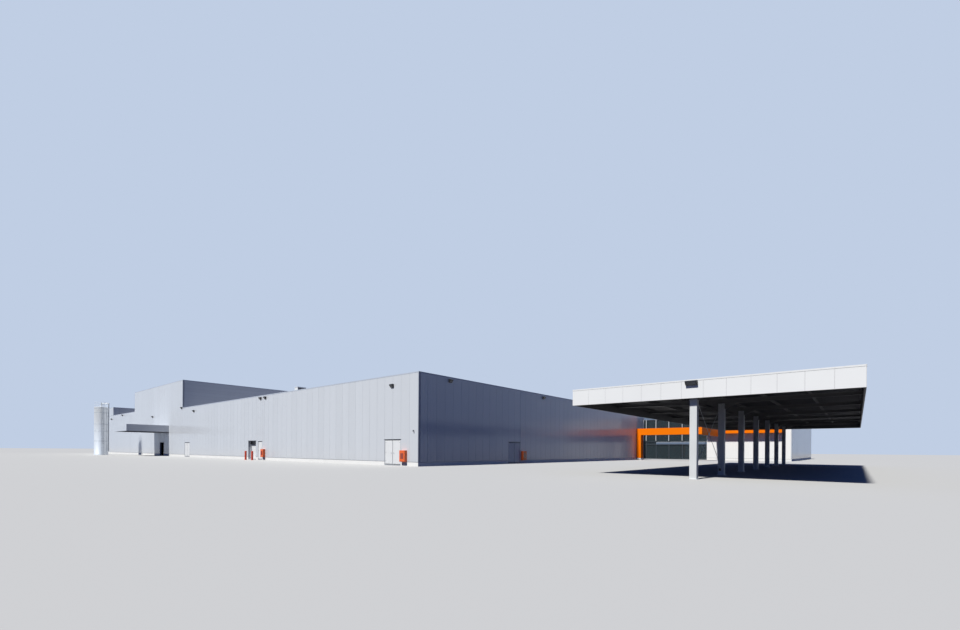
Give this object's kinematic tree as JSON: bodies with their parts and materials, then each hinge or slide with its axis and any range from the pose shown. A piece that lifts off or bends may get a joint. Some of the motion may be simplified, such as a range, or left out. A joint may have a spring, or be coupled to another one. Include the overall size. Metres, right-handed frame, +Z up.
{
  "type": "supermarket building scale model 1:10",
  "caption": "Scale model of a metal clad supermarket building with a long low hall, taller block, loading dock, silo, orange entrance portal and a cantilevered parking canopy.",
  "frame": {"origin": "middle of the whole group's plan, on the ground", "axes": "+X along the front towards the parking canopy, +Y from the front to the back, +Z up"},
  "size_m": [15.0896, 11.677, 1.36],
  "materials": {
    "floor": "trowelled concrete",
    "plinth": "precast concrete, painted white",
    "cladding": "silver coated sandwich panels, semi gloss",
    "roof_membrane": "roof membrane",
    "coping": "folded sheet",
    "galvanised": "galvanised",
    "white_render": "white panels",
    "window_frame": "white powder coat",
    "band": "blue grey panel",
    "glazing": "tinted glass",
    "orange": "gloss orange sheet",
    "column_paint": "pale grey paint",
    "dark_steel": "dark grey paint",
    "dark_sheet": "dark coated sheet",
    "fascia": "white sheet panels",
    "silo": "pale coated shell",
    "lamp_housing": "dark housing",
    "camera": "white dome camera",
    "cabinet_red": "red orange enamel",
    "bollard_red": "red orange paint",
    "door_frame": "grey frame",
    "door_white": "pale steel door",
    "door_grey": "grey steel door"
  },
  "bodies": {
    "root": {"floor_slabs": "floor", "plinth": "plinth", "front_wall": "cladding", "door_lintels": "cladding", "side_wall": "cladding", "court_side_wall": "cladding", "rear_walls": "cladding", "west_wall": "cladding", "tower_end_walls": "cladding", "tower_side_walls": "cladding", "raised_walls": "cladding", "hall_roof": "roof_membrane", "block_roofs": "roof_membrane", "parapet_coping": "coping", "roof_vent": "galvanised", "wing_front_wall": "white_render", "entrance_frames": "window_frame", "entrance_band": "band", "entrance_glazing": "glazing", "portal_post": "orange", "portal_beams": "orange", "canopy_columns": "column_paint", "canopy_rafters": "dark_steel", "canopy_purlins": "dark_steel", "canopy_bracing": "dark_steel", "canopy_deck": "dark_sheet", "canopy_fascia": "fascia", "dock_canopy": "cladding", "goods_door": "door_white", "silo_shell": "silo", "silo_ends": "silo", "silo_ladder": "galvanised", "floodlights": "lamp_housing", "cctv_camera": "camera", "cabinets": "cabinet_red", "bollards": "bollard_red", "door_jambs": "door_frame", "door_heads": "door_frame"},
    "corner_door_left": {"corner_door_left_leaf": "door_white"},
    "corner_door_right": {"corner_door_right_leaf": "door_white"},
    "service_door": {"service_door_leaf": "door_white"},
    "far_door_left": {"far_door_left_leaf": "door_white"},
    "far_door_right": {"far_door_right_leaf": "door_white"},
    "side_door_near": {"side_door_near_leaf": "door_grey"},
    "side_door_far": {"side_door_far_leaf": "door_grey"}
  },
  "joints": [
    {"name": "corner_door_left_hinge", "type": "hinge", "parent": "root", "child": "corner_door_left", "pos_m": [3.98525, -5.0795, 0.015], "axis": [0, 0, -1], "range_deg": [0, 90]},
    {"name": "corner_door_right_hinge", "type": "hinge", "parent": "root", "child": "corner_door_right", "pos_m": [4.20825, -5.0795, 0.015], "axis": [0, 0, 1], "range_deg": [0, 90]},
    {"name": "service_door_hinge", "type": "hinge", "parent": "root", "child": "service_door", "pos_m": [1.28525, -5.0795, 0.015], "axis": [0, 0, -1], "range_deg": [0, 90]},
    {"name": "far_door_left_hinge", "type": "hinge", "parent": "root", "child": "far_door_left", "pos_m": [-1.53475, -5.0795, 0.015], "axis": [0, 0, -1], "range_deg": [0, 90]},
    {"name": "far_door_right_hinge", "type": "hinge", "parent": "root", "child": "far_door_right", "pos_m": [-1.31175, -5.0795, 0.015], "axis": [0, 0, 1], "range_deg": [0, 90]},
    {"name": "side_door_near_hinge", "type": "hinge", "parent": "root", "child": "side_door_near", "pos_m": [4.45325, -3.6945, 0.015], "axis": [0, 0, -1], "range_deg": [0, 90]},
    {"name": "side_door_far_hinge", "type": "hinge", "parent": "root", "child": "side_door_far", "pos_m": [4.45325, -3.4715, 0.015], "axis": [0, 0, 1], "range_deg": [0, 90]}
  ]
}
